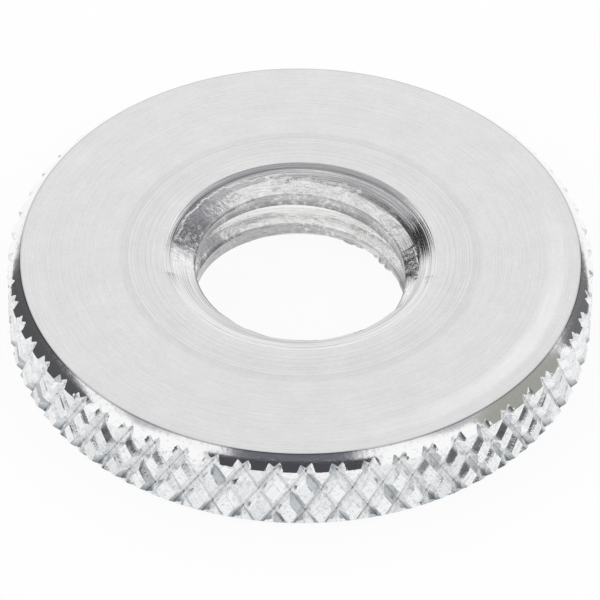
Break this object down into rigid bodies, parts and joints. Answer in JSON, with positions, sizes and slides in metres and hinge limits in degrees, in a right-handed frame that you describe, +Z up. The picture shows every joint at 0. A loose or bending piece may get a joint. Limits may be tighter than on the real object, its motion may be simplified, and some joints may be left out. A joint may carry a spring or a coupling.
{
  "type": "knurled thumb nut",
  "caption": "Thin round thumb nut with a diamond-knurled rim, chamfered edges and a countersunk threaded hole.",
  "frame": {"origin": "centre of the lower flat face, on the axis of the threaded hole", "axes": "+Z up along the threaded hole, towards the upper face; X and Y across the round"},
  "size_m": [0.022, 0.022, 0.0036],
  "materials": {
    "nut": "bright turned metal, satin on the faces, with a sharp rolled knurl"
  },
  "bodies": {
    "root": {"thumb_nut": "nut"}
  },
  "joints": []
}
